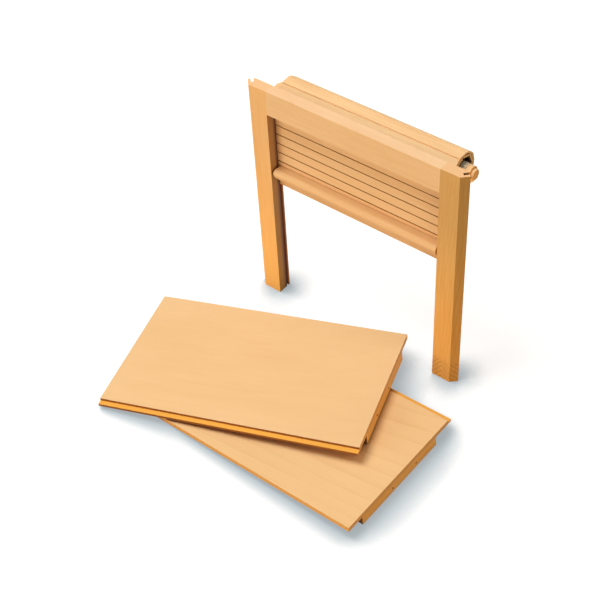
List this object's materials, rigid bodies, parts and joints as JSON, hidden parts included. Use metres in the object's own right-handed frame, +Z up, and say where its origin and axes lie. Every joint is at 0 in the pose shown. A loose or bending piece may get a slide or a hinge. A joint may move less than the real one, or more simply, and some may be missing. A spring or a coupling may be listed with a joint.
{
  "type": "corner appliance garage kit with tambour door",
  "caption": "Corner kitchen appliance garage kit: bevelled face frame with a roll-up tambour door, and two tongued side panels with cleats.",
  "frame": {"origin": "on the counter, in the middle of the doorway, at the plane of the frame's front", "axes": "+X right along the frame's front, +Y back through the frame into the corner, +Z up"},
  "size_m": [0.6078, 0.5036, 0.4572],
  "materials": {
    "panel_wood": "clear satin lacquer on pale maple",
    "cleat_wood": "clear satin lacquer",
    "stile_wood": "clear satin lacquer on maple",
    "rail_wood": "clear satin lacquer on maple",
    "slat_wood": "clear satin lacquer on maple",
    "pull_wood": "clear satin lacquer on maple",
    "track_wood": "bare hardwood",
    "roller_wood": "bare dowel",
    "dowel_wood": "bare dowel",
    "canvas": "off-white cotton canvas",
    "bracket_steel": "dark",
    "screw_steel": "zinc"
  },
  "bodies": {
    "frame": {"left_stile": "stile_wood", "right_stile": "stile_wood", "top_rail": "rail_wood", "rail_dowels": "dowel_wood", "left_track": "track_wood", "right_track": "track_wood", "track_pins": "screw_steel", "left_bracket": "bracket_steel", "right_bracket": "bracket_steel", "bracket_screws": "screw_steel"},
    "door": {"door_slat_1": "slat_wood", "door_slat_2": "slat_wood", "door_slat_3": "slat_wood", "door_slat_4": "slat_wood", "door_slat_5": "slat_wood", "door_slat_6": "slat_wood", "door_slat_7": "slat_wood", "door_slat_8": "slat_wood", "pull_rail": "pull_wood", "door_canvas": "canvas"},
    "coil": {"coil_slat_1": "slat_wood", "coil_slat_2": "slat_wood", "coil_slat_3": "slat_wood", "coil_slat_4": "slat_wood", "coil_slat_5": "slat_wood", "coil_slat_6": "slat_wood", "coil_slat_7": "slat_wood", "coil_slat_8": "slat_wood", "coil_slat_9": "slat_wood", "coil_slat_10": "slat_wood", "coil_slat_11": "slat_wood", "coil_slat_12": "slat_wood", "coil_slat_13": "slat_wood", "coil_slat_14": "slat_wood", "coil_canvas": "canvas", "roller": "roller_wood", "roller_canvas": "canvas"},
    "right_panel": {"right_side_panel": "panel_wood", "right_cleat": "cleat_wood", "right_cleat_screws": "screw_steel"},
    "left_panel": {"left_side_panel": "panel_wood", "left_cleat": "cleat_wood", "left_cleat_screws": "screw_steel"}
  },
  "joints": [
    {"name": "door_drop", "type": "slide", "parent": "frame", "child": "door", "axis": [0, 0, -1], "range_m": [0, 0.0381]},
    {"name": "coil_turn", "type": "hinge", "parent": "frame", "child": "coil", "pos_m": [0, 0.0605, 0.419], "axis": [1, 0, 0], "range_deg": [0, 79.41]},
    {"name": "right_panel_lift", "type": "slide", "parent": "frame", "child": "right_panel", "axis": [0, 0, 1], "range_m": [0, 0.06]},
    {"name": "left_panel_lift", "type": "slide", "parent": "right_panel", "child": "left_panel", "axis": [0, 0, 1], "range_m": [0, 0.08]}
  ],
  "couplings": [
    {"joint": "coil_turn", "follows": "door_drop", "rad_per_m": 36.353}
  ]
}
